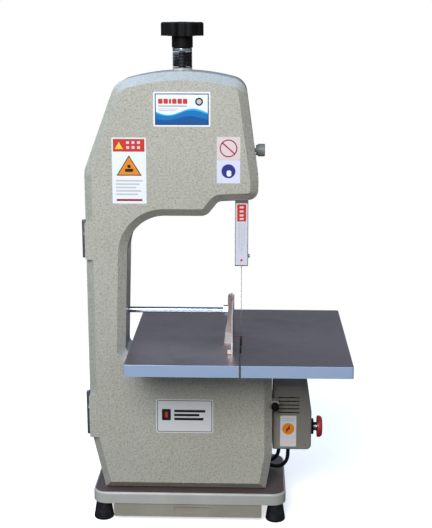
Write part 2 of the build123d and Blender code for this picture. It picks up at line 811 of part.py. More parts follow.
with BuildPart() as table:
    with BuildSketch(Plane.XY.offset(table_low)):
        with Locations((table_x, table_y)):
            RectangleRounded(table_width, table_depth, 4)
    extrude(amount=table_thick)
    chamfer(table.faces().sort_by(Axis.Z)[-1].edges(), 1)
    with BuildSketch(Plane.XY.offset(table_low)):
        with Locations((table_x, table_y)):
            Rectangle(table_width - 2 * plate_thick, table_depth - 2 * plate_thick)
    extrude(amount=table_thick - plate_thick, mode=Mode.SUBTRACT)
    with BuildSketch(Plane.XY.offset(table_low)):
        with Locations((blade_x, (table_front + slot_end) / 2)):
            Rectangle(slot_w, slot_end - table_front)
    extrude(amount=table_thick, mode=Mode.SUBTRACT)
save(table, "table")

bar_low = deck_z + 8
bar_w = 24.0
with BuildPart() as table_frame:
    with BuildSketch(Plane.XY.offset(bar_low)):
        for x in (-60.0, 84.0, 235.0):
            with Locations((x, table_y)):
                Rectangle(bar_w, table_depth - 40)
        for y in (70.0, 150.0):
            with Locations((table_x, y)):
                Rectangle(table_width - 40, bar_w)
        with Locations((-100.0, -178.0), (160.0, -178.0)):
            Rectangle(120, bar_w)
    extrude(amount=table_top - plate_thick - bar_low)
    with Locations(*[(x, y, bar_low) for x, y in deck_bolts]):
        Cylinder(4.2, 20, mode=Mode.SUBTRACT)
save(table_frame, "table_frame")

with BuildPart() as table_bolts:
    with Locations(*[(x, y, deck_z) for x, y in deck_bolts]):
        Cylinder(9, bar_low - deck_z, align=upright)
        with Locations((0, 0, -wall - 5)):
            Cylinder(4.0, wall + 5 + bar_low - deck_z + 8, align=upright)
            Cylinder(6.5, 5, align=upright)
save(table_bolts, "table_bolts")

# ---- Control box with its cover, stop button, switch and capacitor ------------------------
cover_back = box_front + 6
box_points = [
    ((box_left, box_bottom), 3),
    ((box_left, box_top), 3),
    ((188.5, box_top), 3),
    ((box_right, box_top - 58), 20),
    ((box_right, box_bottom), 10),
]
box_outline = [point for point, radius in box_points]
box_radii = [radius for point, radius in box_points]

with BuildPart() as control_box:
    with BuildSketch(at_y(box_back)):
        with BuildLine():
            FilletPolyline(*box_outline, radius=box_radii, close=True)
        make_face()
    extrude(amount=box_back - cover_back)
    with BuildSketch(at_y(box_back - 3)):
        with BuildLine():
            FilletPolyline(*box_outline, radius=box_radii, close=True)
        make_face()
        offset(amount=-2.5)
    extrude(amount=box_back - 3 - cover_back, mode=Mode.SUBTRACT)
    with BuildSketch(at_x(box_right - 4)):
        with Locations((estop_y, estop_z)):
            Circle(11)
    extrude(amount=6, mode=Mode.SUBTRACT)
save(control_box, "control_box")

louvre_x = 149.5
with BuildPart() as box_cover:
    with BuildSketch(at_y(cover_back)):
        with BuildLine():
            FilletPolyline(*box_outline, radius=box_radii, close=True)
        make_face()
    extrude(amount=cover_back - box_front)
    chamfer(box_cover.faces().sort_by(Axis.Y)[0].edges(), 2.5)
    with BuildSketch(at_y(cover_back)):
        with BuildLine():
            FilletPolyline(*box_outline, radius=box_radii, close=True)
        make_face()
        offset(amount=-2.5)
    extrude(amount=3.5, mode=Mode.SUBTRACT)
    with BuildSketch(at_y(box_front + 4)):
        with Locations((louvre_x, 238.0)):
            with GridLocations(1, 8, 1, 5):
                RectangleRounded(45, 2.6, 1.2)
    extrude(amount=6, mode=Mode.SUBTRACT)
save(box_cover, "box_cover")


def turned_x(y, z, steps):
    """A turned piece lying along X: (start, end, radius), one step after another."""
    for start, end, radius in steps:
        with BuildSketch(at_x(start)) as disc:
            with Locations((y, z)):
                Circle(radius)
        extrude(disc.sketch, amount=end - start)


with BuildPart() as estop_collar:
    turned_x(estop_y, estop_z, [(box_right - 4, box_right, 10.9), (box_right, box_right + 6, 16.5)])
    fillet(estop_collar.edges().filter_by(GeomType.CIRCLE).sort_by(Axis.X)[-1], 1.5)
    with BuildSketch(at_x(box_right - 6)):
        with Locations((estop_y, estop_z)):
            Circle(9.4)
    extrude(amount=20, mode=Mode.SUBTRACT)
save(estop_collar, "estop_collar")

head_x = box_right + 13
with BuildPart() as estop_stem:
    turned_x(estop_y, estop_z, [(box_right - 6, head_x, 9)])
save(estop_stem, "estop_stem")

with BuildPart() as estop_head:
    turned_x(estop_y, estop_z, [(head_x, head_x + 11, 22.5)])
    fillet(estop_head.edges().filter_by(GeomType.CIRCLE).sort_by(Axis.X)[-1], 7.5)
    fillet(estop_head.edges().filter_by(GeomType.CIRCLE).sort_by(Axis.X)[0], 1.5)
save(estop_head, "estop_head")

with BuildPart() as contact_block:
    with Locations((box_right - 27, estop_y, estop_z)):
        Box(26, 30, 34)
save(contact_block, "contact_block")

with BuildPart() as capacitor:
    with Locations((140, 30, 172)):
        Cylinder(16, 70, align=upright)
save(capacitor, "capacitor")

# ---- Terminal box on the motor, glands and the two leads ----------------------------------
term_x = 12.0
term_y = 108.0
with BuildPart() as terminal_box:
    with Locations(((term_x), term_y, lower_wheel_z)):
        Box(70, 56, 52)
    fillet(terminal_box.edges().filter_by(Axis.Y), 5)
    with BuildSketch(at_y(term_y + 40)):
        with Locations((wheel_x, lower_wheel_z)):
            Circle(72.1)
    extrude(amount=80, mode=Mode.SUBTRACT)
save(terminal_box, "terminal_box")

lead_r = 4.0
gland_len = 14.0
box_glands = [(133.0, 38.0, box_bottom), (152.0, 38.0, box_bottom)]
motor_glands = [(12.0, 96.0, lower_wheel_z - 26), (32.0, 118.0, lower_wheel_z - 26)]

with BuildPart() as cable_glands:
    for x, y, z in box_glands + motor_glands:
        with BuildSketch(Plane.XY.offset(z - 6)) as hexagon:
            with Locations((x, y)):
                RegularPolygon(8, 6, major_radius=False)
        extrude(hexagon.sketch, amount=6)
        with Locations((x, y, z - gland_len)):
            Cone(5.4, 7, gland_len - 6, align=upright)
save(cable_glands, "cable_glands")

lead_routes = {
    "motor_lead": [
        (133, 38, 127), (133, 38, 110), (127, 42, 95), (115, 48, 84), (100, 57, 81), (86, 65, 85),
        (72, 73, 94), (58, 81, 105), (44, 89, 118), (31, 93, 131), (20, 95, 146), (12, 96, 161),
        (12, 96, 176),
    ],
    "start_lead": [
        (152, 38, 127), (152, 38, 108), (151, 40, 91), (143, 44, 77), (130, 51, 69), (116, 60, 68),
        (102, 68, 73), (87, 76, 82), (72, 85, 94), (59, 95, 106), (46, 105, 120), (37, 113, 138),
        (32, 118, 158), (32, 118, 176),
    ],
}


def arc_radii(route):
    """The largest arc that the two runs at each corner leave room for."""
    radii = []
    for before, here, after in zip(route, route[1:], route[2:]):
        first = Vector(*here) - Vector(*before)
        second = Vector(*after) - Vector(*here)
        turn = first.get_angle(second)
        radii.append(0.45 * min(first.length, second.length) / tan(radians(turn / 2)))
    return radii


for name, route in lead_routes.items():
    radii = arc_radii(route)
    with BuildPart() as lead:
        with BuildLine() as path:
            FilletPolyline(*route, radius=radii)
        with BuildSketch(Plane(origin=path.line @ 0, z_dir=path.line % 0)):
            Circle(lead_r)
        sweep()
    save(lead, name)
    length = path.wires()[0].length
    full = length * lead_r ** 2 * pi
    print(name, "length", round(length), "fill", round(lead.part.volume / full, 3), [round(r) for r in radii])
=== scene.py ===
"""Bench bone saw: materials, labels, saw teeth, spring, screws, leads, light and camera.

Everything is in metres in the frame of the CAD model: X along the table's front edge, Y from
the operator to the back, Z up, with the origin on the floor below the middle of the machine.
"""

import json
import math

import bpy
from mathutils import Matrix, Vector


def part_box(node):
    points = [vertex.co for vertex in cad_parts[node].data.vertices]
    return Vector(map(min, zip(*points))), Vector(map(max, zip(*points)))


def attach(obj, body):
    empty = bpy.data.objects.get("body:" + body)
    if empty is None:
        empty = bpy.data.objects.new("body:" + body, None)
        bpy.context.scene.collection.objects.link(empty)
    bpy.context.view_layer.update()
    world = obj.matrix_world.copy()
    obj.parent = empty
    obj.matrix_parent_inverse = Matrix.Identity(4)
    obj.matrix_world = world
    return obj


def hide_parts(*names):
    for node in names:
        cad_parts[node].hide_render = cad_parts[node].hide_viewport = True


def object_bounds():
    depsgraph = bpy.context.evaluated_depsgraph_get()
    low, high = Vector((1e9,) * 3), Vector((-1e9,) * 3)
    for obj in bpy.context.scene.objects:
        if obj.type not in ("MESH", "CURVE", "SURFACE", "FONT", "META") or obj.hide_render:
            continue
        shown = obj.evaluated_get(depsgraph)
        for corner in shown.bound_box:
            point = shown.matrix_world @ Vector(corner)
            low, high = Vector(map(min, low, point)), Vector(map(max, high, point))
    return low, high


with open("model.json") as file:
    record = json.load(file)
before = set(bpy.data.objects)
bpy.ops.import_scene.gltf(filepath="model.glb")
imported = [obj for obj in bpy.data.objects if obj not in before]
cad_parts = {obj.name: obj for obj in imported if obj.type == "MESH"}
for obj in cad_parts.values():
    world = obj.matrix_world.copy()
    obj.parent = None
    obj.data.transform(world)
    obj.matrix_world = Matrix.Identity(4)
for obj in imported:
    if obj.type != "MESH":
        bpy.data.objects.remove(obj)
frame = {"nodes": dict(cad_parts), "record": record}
cad_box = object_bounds()

MM = 0.001
X_AXIS, Z_AXIS = 0, 2


def add_object(name, data):
    """A new object in the scene."""
    made = bpy.data.objects.new(name, data)
    bpy.context.scene.collection.objects.link(made)
    return made


def set_stops(ramp, stops):
    """Gives a colour ramp node its stops, each a (place, colour)."""
    elements = ramp.color_ramp.elements
    while len(elements) < len(stops):
        elements.new(0.5)
    for element, (place, colour) in zip(elements, stops):
        element.position = place
        element.color = (*colour, 1)


# ---- Camera -------------------------------------------------------------------------------
CAMERA_PLACE = (0.0735, -2.164, 1.023)
CAMERA_PITCH_DOWN = 12.91
CAMERA_TURN_LEFT = 1.95
CAMERA_LENS = 75.0
SENSOR_SIZE = 36.0
CAMERA_REACH = 60.0


def place_camera():
    """A standing person's view of the front, tilted down and turned slightly to the left."""
    data = bpy.data.cameras.new("camera")
    data.lens = CAMERA_LENS
    data.sensor_width = SENSOR_SIZE
    data.clip_end = CAMERA_REACH
    camera = add_object("camera", data)
    camera.location = CAMERA_PLACE
    tilt = math.radians(90 - CAMERA_PITCH_DOWN)
    camera.rotation_euler = (tilt, 0, math.radians(CAMERA_TURN_LEFT))
    bpy.context.scene.camera = camera


# ---- Material building --------------------------------------------------------------------
class Finish:
    """A material being made: its shader, its object coordinates and the textures on it."""

    def __init__(self, name, **sockets):
        """Sockets are the shader's own, in lower case: coat_weight sets Coat Weight."""
        self.material = bpy.data.materials.new(name)
        self.material.use_nodes = True
        self.tree = self.material.node_tree
        self.shader = self.tree.nodes["Principled BSDF"]
        self.place = self.tree.nodes.new("ShaderNodeTexCoord").outputs["Object"]
        self.normal = None
        for label, value in sockets.items():
            label = label.replace("_", " ").title().replace("Ior", "IOR")
            self.shader.inputs[label].default_value = value

    def node(self, kind, links=(), values=()):
        """A new node, with (input, socket) links and (input, value) settings."""
        made = self.tree.nodes.new(kind)
        for label, socket in links:
            self.tree.links.new(socket, made.inputs[label])
        for label, value in values:
            made.inputs[label].default_value = value
        return made

    def noise(self, size, detail, rough, stretch=(1, 1, 1)):
        """Clouds about size metres across, drawn out where stretch is below 1."""
        mapping = self.node("ShaderNodeMapping", [("Vector", self.place)], [("Scale", stretch)])
        settings = [("Scale", 1 / size), ("Detail", detail), ("Roughness", rough)]
        texture = self.node("ShaderNodeTexNoise", [("Vector", mapping.outputs[0])], settings)
        return texture.outputs["Fac"]

    def cells(self, size, wobble):
        """Distance from the edges of cells about size metres across, bent by up to wobble metres."""
        scale = [("Scale", 1 / size)]
        bend = self.node("ShaderNodeTexNoise", [("Vector", self.place)], scale)
        shift = self.node("ShaderNodeVectorMath", [(0, bend.outputs["Color"])])
        shift.operation = "SCALE"
        shift.inputs["Scale"].default_value = wobble
        bent = self.node("ShaderNodeVectorMath", [(0, self.place), (1, shift.outputs[0])])
        texture = self.node("ShaderNodeTexVoronoi", [("Vector", bent.outputs[0])], scale)
        texture.feature = "DISTANCE_TO_EDGE"
        return texture.outputs["Distance"]

    def facing_up(self, low, high):
        """0 where the surface's upward lean is low, 1 where it is high."""
        normal = self.tree.nodes.new("ShaderNodeTexCoord").outputs["Normal"]
        parts = self.node("ShaderNodeSeparateXYZ", [(0, normal)])
        return self.spread(parts.outputs["Z"], low, high, 0, 1)

    def spread(self, factor, low, high, to_low, to_high):
        """The factor's stretch from low to high, laid over another range."""
        settings = [(1, low), (2, high), (3, to_low), (4, to_high)]
        return self.node("ShaderNodeMapRange", [(0, factor)], settings).outputs[0]

    def ramp(self, factor, *stops):
        """A blend through stops of (place, colour)."""
        made = self.node("ShaderNodeValToRGB", [(0, factor)])
        set_stops(made, stops)
        return made.outputs["Color"]

    def mix(self, factor, first, second, mode="MIX"):
        """Two colours blended; factor is a number or a socket, and so is each colour."""
        made = self.tree.nodes.new("ShaderNodeMix")
        made.data_type = "RGBA"
        made.blend_type = mode
        for index, value in ((0, factor), (6, first), (7, second)):
            if isinstance(value, bpy.types.NodeSocket):
                self.tree.links.new(value, made.inputs[index])
            elif index:
                made.inputs[index].default_value = (*value, 1)
            else:
                made.inputs[index].default_value = value
        return made.outputs[2]

    def bump(self, height, depth):
        """Relief of the given depth in metres, on top of any relief already there."""
        made = self.node("ShaderNodeBump", [("Height", height)], [("Distance", depth)])
        if self.normal:
            self.tree.links.new(self.normal, made.inputs["Normal"])
        self.normal = made.outputs[0]

    def done(self, colour, roughness):
        """Joins what was made to the shader and returns the material."""
        wires = (("Base Color", colour), ("Roughness", roughness), ("Normal", self.normal))
        for label, socket in wires:
            if socket:
                self.tree.links.new(socket, self.shader.inputs[label])
        return self.material


def hammer_paint():
    """Hammered enamel: shallow dimples, mottled warm grey, olive veins, pale flecks, and upward faces tinted
    blue as a painted reflection of the light above.
    """
    paint = Finish("hammer_grey", coat_weight=0.35, coat_roughness=0.28)
    broad = paint.noise(0.16, 3, 0.6)
    mottle = paint.noise(3.4 * MM, 4, 0.75)
    fine = paint.noise(1.4 * MM, 3, 0.7)
    dimples = paint.cells(2.4 * MM, 1.5 * MM)
    ground = paint.ramp(broad, (0.3, (0.40, 0.378, 0.318)), (0.7, (0.44, 0.42, 0.362)))
    dark_spots = (0.34, (0.56, 0.58, 0.48))
    plain = (0.48, (0.98, 0.98, 0.96))
    pale_spots = (0.66, (1.2, 1.2, 1.22))
    spots = paint.ramp(mottle, dark_spots, plain, pale_spots)
    body = paint.mix(1.0, ground, spots, "MULTIPLY")
    olive = (0.24, 0.25, 0.205)
    body = paint.mix(paint.spread(dimples, 0.0, 0.14, 0.2, 0.0), body, olive)
    fleck = (0.72, 0.74, 0.72)
    body = paint.mix(paint.spread(fine, 0.66, 0.74, 0.0, 0.4), body, fleck)
    # Painted reflection: upward faces are blended halfway to this blue, which stands for the blue light from
    # above.
    painted_sky_reflection = (0.36, 0.42, 0.50)
    body = paint.mix(paint.facing_up(0.3, 0.8), body, paint.mix(0.5, body, painted_sky_reflection))
    paint.bump(paint.spread(dimples, 0.0, 0.3, 0.0, 1.0), 0.09 * MM)
    paint.bump(mottle, 0.12 * MM)
    return paint.done(body, paint.spread(mottle, 0.3, 0.7, 0.36, 0.5))


def smooth_paint(name, colour, clouding, roughness=0.42, orange_peel=0.03 * MM, top=None):
    """Plain sprayed paint with faint clouding, orange peel and a little grime; upward faces can take a top
    colour, which is painted shade.
    """
    paint = Finish(name, coat_weight=0.15, coat_roughness=0.3)
    broad = paint.noise(0.09, 3, 0.6)
    grain = paint.noise(1.4 * MM, 3, 0.6)
    body = paint.mix(paint.spread(broad, 0.35, 0.7, 0, 1), colour, clouding)
    body = paint.mix(paint.spread(grain, 0.6, 0.72, 0, 0.25), body, [0.6 * c for c in colour])
    # Painted shade: upward faces take the darker top colour, as if in shadow.
    if top:
        body = paint.mix(paint.facing_up(0.9, 0.98), body, top)
    paint.bump(grain, orange_peel)
    return paint.done(body, paint.spread(broad, 0.3, 0.7, roughness - 0.06, roughness + 0.08))


def brushed(name, colour, grain_along, roughness):
    """Ground steel: fine drawn-out lines along one axis, with cloudy handling marks."""
    steel = Finish(name, metallic=1.0, anisotropic=0.5)
    stretch = [1.0, 1.0, 1.0]
    stretch[grain_along] = 0.02
    lines = steel.noise(0.5 * MM, 4, 0.7, stretch)
    bands = steel.noise(4 * MM, 3, 0.6, stretch)
    cloud = steel.noise(0.07, 4, 0.65)
    body = steel.mix(lines, [0.72 * c for c in colour], colour)
    body = steel.mix(steel.spread(cloud, 0.5, 0.75, 0, 0.5), body, [0.6 * c for c in colour])
    steel.bump(lines, 0.02 * MM)
    steel.bump(bands, 0.01 * MM)
    blend = steel.mix(0.5, lines, cloud)
    return steel.done(body, steel.spread(blend, 0.3, 0.7, roughness - 0.08, roughness + 0.12))


def table_steel():
    """The table: a handled, warm top with fine lines, and sides painted paler and bluer as a painted
    reflection of the blue light.
    """
    steel = Finish("table_steel", anisotropic=0.4)
    lines = steel.noise(0.6 * MM, 4, 0.7, (0.02, 1, 1))
    cloud = steel.noise(0.06, 4, 0.65)
    edge = steel.facing_up(0.8, 0.6)
    top = steel.mix(lines, (0.375, 0.325, 0.315), (0.54, 0.465, 0.455))
    top = steel.mix(steel.spread(cloud, 0.45, 0.72, 0, 0.5), top, (0.32, 0.27, 0.27))
    # Painted reflection: faces that do not look up get a pale blue steel, less metallic, standing for the
    # blue light they reflect.
    painted_sky_sides = steel.mix(lines, (0.37, 0.47, 0.65), (0.46, 0.57, 0.78))
    body = steel.mix(edge, top, painted_sky_sides)
    steel.tree.links.new(steel.spread(edge, 0, 1, 1, 0.35), steel.shader.inputs["Metallic"])
    steel.bump(lines, 0.02 * MM)
    blend = steel.mix(0.5, lines, cloud)
    return steel.done(body, steel.spread(blend, 0.3, 0.7, 0.26, 0.46))


def fence_steel():
    """The fence: dull stainless with a cloudy brown film, browner towards the back, and upward faces painted
    paler as a painted highlight.
    """
    steel = Finish("fence_steel", metallic=0.6)
    film = steel.noise(0.03, 4, 0.7)
    lines = steel.noise(0.5 * MM, 3, 0.7, (1, 0.03, 1))
    parts = steel.node("ShaderNodeSeparateXYZ", [(0, steel.place)])
    # Browner towards the back, along Y.
    rear_brown_mask = steel.spread(parts.outputs["Y"], -0.10, -0.03, 0, 0.85)
    body = steel.mix(lines, (0.60, 0.57, 0.56), (0.76, 0.73, 0.72))
    body = steel.mix(rear_brown_mask, body, (0.19, 0.125, 0.11))
    body = steel.mix(steel.spread(film, 0.45, 0.7, 0, 0.4), body, (0.30, 0.20, 0.18))
    # Painted highlight: upward faces are made whitish, standing for the light from above.
    body = steel.mix(steel.facing_up(0.7, 0.95), body, (0.80, 0.78, 0.74))
    steel.bump(lines, 0.02 * MM)
    return steel.done(body, steel.spread(film, 0.3, 0.7, 0.34, 0.5))


def polished(name, colour, roughness):
    """Plated metal with faint hairlines and small dull patches."""
    metal = Finish(name, metallic=1.0)
    marks = metal.noise(6 * MM, 4, 0.7)
    hairs = metal.noise(0.8 * MM, 2, 0.6, (0.2, 1, 1))
    body = metal.mix(metal.spread(marks, 0.45, 0.7, 0, 0.4), colour, [0.75 * c for c in colour])
    metal.bump(hairs, 0.004 * MM)
    return metal.done(body, metal.spread(marks, 0.3, 0.7, roughness, roughness + 0.14))


def cast_metal(name, colour):
    """A casting's granular skin."""
    metal = Finish(name, metallic=0.9)
    grain = metal.noise(1.2 * MM, 5, 0.7)
    patches = metal.noise(0.03, 3, 0.6)
    body = metal.mix(metal.spread(patches, 0.35, 0.7, 0, 1), colour, [0.7 * c for c in colour])
    metal.bump(grain, 0.12 * MM)
    return metal.done(body, metal.spread(grain, 0.3, 0.7, 0.4, 0.6))


def plastic(name, colour, roughness, grain=0.03 * MM, **sockets):
    """Moulded plastic with a fine spark-eroded grain and slight shine changes."""
    made = Finish(name, **sockets)
    texture = made.noise(0.7 * MM, 3, 0.6)
    cloud = made.noise(0.02, 3, 0.6)
    lighter = [min(1.0, 1.35 * c + 0.003) for c in colour]
    body = made.mix(made.spread(cloud, 0.35, 0.7, 0, 1), colour, lighter)
    made.bump(texture, grain)
    return made.done(body, made.spread(cloud, 0.3, 0.7, roughness - 0.05, roughness + 0.08))


def rubber(name, colour, roughness):
    """Moulded rubber: dusty, faintly pitted."""
    made = Finish(name, specular_ior_level=0.3)
    dust = made.noise(0.015, 4, 0.7)
    pits = made.noise(0.9 * MM, 4, 0.7)
    body = made.mix(made.spread(dust, 0.5, 0.8, 0, 0.2), colour, (0.12, 0.115, 0.11))
    made.bump(pits, 0.06 * MM)
    return made.done(body, made.spread(dust, 0.3, 0.7, roughness - 0.1, roughness + 0.1))


def laminated(name, colour):
    """A stack of punched sheets, seen edge on along Y."""
    made = Finish(name, metallic=0.8)
    sheets = made.noise(0.5 * MM, 1, 0.4, (0.02, 1, 0.02))
    rust = made.noise(0.02, 4, 0.7)
    body = made.mix(made.spread(rust, 0.5, 0.75, 0, 0.6), colour, (0.19, 0.12, 0.08))
    made.bump(sheets, 0.1 * MM)
    return made.done(body, made.spread(sheets, 0.3, 0.7, 0.45, 0.65))


def make_slot_materials():
    """One material for each slot of the record."""
    # Painted shade: the dark brown of the base's top face stands for its shadow and dark reflections.
    painted_shade_brown = (0.088, 0.058, 0.056)
    soot = (0.006, 0.006, 0.0065)
    return {
        "hammer_grey": hammer_paint(),
        "base_grey": smooth_paint("base_grey", (0.44, 0.435, 0.39), (0.38, 0.37, 0.33), top=painted_shade_brown),
        "drawer_beige": smooth_paint("drawer_beige", (0.32, 0.292, 0.23), (0.265, 0.24, 0.19), 0.5),
        "box_grey": smooth_paint("box_grey", (0.235, 0.215, 0.175), (0.19, 0.172, 0.14), 0.5, 0.08 * MM),
        "motor_paint": smooth_paint("motor_paint", (0.07, 0.085, 0.10), (0.055, 0.065, 0.08), 0.35),
        "stainless": brushed("stainless", (0.52, 0.52, 0.54), X_AXIS, 0.32),
        "bright_steel": brushed("bright_steel", (0.56, 0.56, 0.57), Z_AXIS, 0.28),
        "zinc": polished("zinc", (0.62, 0.63, 0.65), 0.24),
        "chrome": polished("chrome", (0.40, 0.47, 0.56), 0.14),
        "blade_steel": brushed("blade_steel", (0.16, 0.16, 0.165), Z_AXIS, 0.45),
        "cast_wheel": cast_metal("cast_wheel", (0.56, 0.57, 0.58)),
        "bronze": polished("bronze", (0.55, 0.38, 0.16), 0.28),
        "white_nylon": plastic("white_nylon", (0.36, 0.35, 0.31), 0.5, subsurface_weight=0.1),
        "black_plastic": plastic("black_plastic", (0.003, 0.0025, 0.0025), 0.5, specular_ior_level=0.12),
        "grey_knob": plastic("grey_knob", (0.19, 0.19, 0.175), 0.45),
        "red_plastic": plastic("red_plastic", (0.40, 0.018, 0.02), 0.36, 0.01 * MM, coat_weight=0.4),
        "black_rubber": rubber("black_rubber", soot, 0.5),
        "cable_black": rubber("cable_black", soot, 0.55),
        "motor_iron": laminated("motor_iron", (0.22, 0.22, 0.23)),
        "capacitor_shell": polished("capacitor_shell", (0.6, 0.6, 0.62), 0.3),
    }


place_camera()
finishes = make_slot_materials()
own_finishes = {"table": table_steel(), "fence_plate": fence_steel()}
slot_of = {row["node"]: row["material_slot"] for row in frame["record"]["subparts"]}


def dress_cad_nodes():
    """Gives every CAD node the material of its slot, or its own."""
    for name, piece in frame["nodes"].items():
        piece.data.materials.clear()
        piece.data.materials.append(own_finishes.get(name, finishes[slot_of[name]]))


def ink(name, colour, roughness):
    """Printed vinyl: one colour with a faint unevenness of the print."""
    made = Finish("ink_" + name, coat_weight=0.1, coat_roughness=0.15, specular_ior_level=0.3)
    grain = made.noise(0.6 * MM, 3, 0.6)
    cloud = made.noise(0.02, 3, 0.6)
    body = made.mix(made.spread(grain, 0.3, 0.7, 0, 0.16), colour, [0.8 * c for c in colour])
    made.bump(cloud, 0.05 * MM)
    return made.done(body, made.spread(cloud, 0.3, 0.7, roughness - 0.05, roughness + 0.05))


INK_COLOURS = {
    "white": (0.80, 0.81, 0.82),
    "guard_white": (0.62, 0.61, 0.68),
    "plate": (0.66, 0.655, 0.635),
    "pink": (0.72, 0.58, 0.58),
    "lavender": (0.68, 0.68, 0.80),
    "navy": (0.01, 0.045, 0.10),
    "indigo": (0.03, 0.03, 0.22),
    "blue": (0.0, 0.155, 0.44),
    "deep_blue": (0.0, 0.08, 0.27),
    "sky": (0.02, 0.40, 0.78),
    "red": (0.56, 0.035, 0.025),
    "dark_red": (0.30, 0.02, 0.02),
    "orange": (0.76, 0.24, 0.012),
    "yellow": (0.85, 0.60, 0.05),
    "black": (0.012, 0.012, 0.014),
    "grey": (0.30, 0.30, 0.31),
    "pale_grey": (0.52, 0.52, 0.53),
}
INK_ROUGHNESS = {"plate": 0.3}
INKS = {name: ink(name, colour, INK_ROUGHNESS.get(name, 0.4)) for name, colour in INK_COLOURS.items()}


# ---- Mesh building ------------------------------------------------------------------------
SMOOTH_BELOW = math.radians(35)


class Shape:
    """Points and faces gathered from several closed forms, for one piece."""

    def __init__(self):
        self.points = []
        self.faces = []
        self.face_materials = []

    def rings(self, rings, material=0, closed=False):
        """Skin over a row of equal rings, capped at both ends unless the row is closed."""
        start = len(self.points)
        count = len(rings[0])
        for ring in rings:
            self.points.extend(ring)
        spans = len(rings) if closed else len(rings) - 1
        for span in range(spans):
            low = start + span * count
            high = start + (span + 1) % len(rings) * count
            for i in range(count):
                j = (i + 1) % count
                self.faces.append((low + i, low + j, high + j, high + i))
        added = spans * count
        if not closed:
            last = start + (len(rings) - 1) * count
            self.faces.append(tuple(range(start + count - 1, start - 1, -1)))
            self.faces.append(tuple(range(last, last + count)))
            added += 2
        self.face_materials.extend([material] * added)

    def piece(self, name, body, materials, slot=None):
        """The finished piece, which rides on a body."""
        mesh = bpy.data.meshes.new(name)
        mesh.from_pydata([tuple(p) for p in self.points], [], self.faces)
        for material in materials:
            mesh.materials.append(material)
        mesh.polygons.foreach_set("material_index", self.face_materials)
        mesh.polygons.foreach_set("use_smooth", [True] * len(mesh.polygons))
        mesh.set_sharp_from_angle(angle=SMOOTH_BELOW)
        mesh.update()
        made = add_object(name, mesh)
        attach(made, body)
        return made


def circle(radius, count):
    """Points of a circle in a plane of its own."""
    turns = [2 * math.pi * i / count for i in range(count)]
    return [(radius * math.cos(t), radius * math.sin(t)) for t in turns]


def hexagon(half_width, count):
    """Points along a hexagon's sides, as many as on the circle it joins."""
    points = []
    for i in range(count):
        turn = 2 * math.pi * i / count
        off = (turn + math.pi / 6) % (math.pi / 3) - math.pi / 6
        reach = half_width / math.cos(off)
        points.append((reach * math.cos(turn), reach * math.sin(turn)))
    return points


def basis(axis):
    """Two directions square to the axis, so that a turned form winds outwards."""
    axis = Vector(axis).normalized()
    side = axis.orthogonal().normalized()
    return side, axis.cross(side), axis


def turned(shape, centre, axis, profile, material=0):
    """A form about an axis: profile is a row of (distance along the axis, outline points)."""
    side, up, along = basis(axis)
    centre = Vector(centre)
    rings = []
    for distance, outline in profile:
        base = centre + along * distance
        rings.append([base + side * u + up * v for u, v in outline])
    shape.rings(rings, material)


def tube(shape, points, radius, sides):
    """A round bar along a smooth row of points."""
    rings = []
    up = Vector((0, 0, 1))
    for i, point in enumerate(points):
        before = points[max(i - 1, 0)]
        after = points[min(i + 1, len(points) - 1)]
        along = (after - before).normalized()
        side = along.cross(up).normalized()
        lift = side.cross(along)
        rings.append([point + side * u + lift * v for u, v in circle(radius, sides)])
    shape.rings(rings)


# ---- Leads --------------------------------------------------------------------------------
LEAD_RADIUS = 4 * MM
LEAD_ROUTES = {
    "motor_lead": [
        (0.133, 0.038, 0.127), (0.133, 0.038, 0.110), (0.127, 0.042, 0.095), (0.115, 0.048, 0.084),
        (0.100, 0.057, 0.081), (0.086, 0.065, 0.085), (0.072, 0.073, 0.094), (0.058, 0.081, 0.105),
        (0.044, 0.089, 0.118), (0.031, 0.093, 0.131), (0.020, 0.095, 0.146), (0.012, 0.096, 0.161),
        (0.012, 0.096, 0.176),
    ],
    "start_lead": [
        (0.152, 0.038, 0.127), (0.152, 0.038, 0.108), (0.151, 0.040, 0.091), (0.143, 0.044, 0.077),
        (0.130, 0.051, 0.069), (0.116, 0.060, 0.068), (0.102, 0.068, 0.073), (0.087, 0.076, 0.082),
        (0.072, 0.085, 0.094), (0.059, 0.095, 0.106), (0.046, 0.105, 0.120), (0.037, 0.113, 0.138),
        (0.032, 0.118, 0.158), (0.032, 0.118, 0.176),
    ],
}


def lay_lead(node, route):
    """A sheathed lead from the control box to the motor's terminal box."""
    curve = bpy.data.curves.new(node + "_sheath", "CURVE")
    curve.dimensions = "3D"
    curve.bevel_depth = LEAD_RADIUS
    curve.bevel_resolution = 5
    curve.use_fill_caps = True
    spline = curve.splines.new("NURBS")
    spline.points.add(len(route) - 1)
    for point, place in zip(spline.points, route):
        point.co = (*place, 1)
    spline.order_u = 3
    spline.use_endpoint_u = True
    spline.resolution_u = 12
    curve.materials.append(finishes["cable_black"])
    lead = add_object(node + "_sheath", curve)
    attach(lead, "root")
    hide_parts(node)


# ---- Saw blade ----------------------------------------------------------------------------
TOOTH_PITCH = 6 * MM
TOOTH_DEPTH = 2.6 * MM
TOOTH_SET = 0.45 * MM
# Share of the pitch, and share of the tooth's depth and set there.
TOOTH_OUTLINE = ((0.0, 0.0), (0.3, 0.0), (0.62, 0.35), (0.97, 1.0))
BLADE_THICKNESS = 0.8 * MM


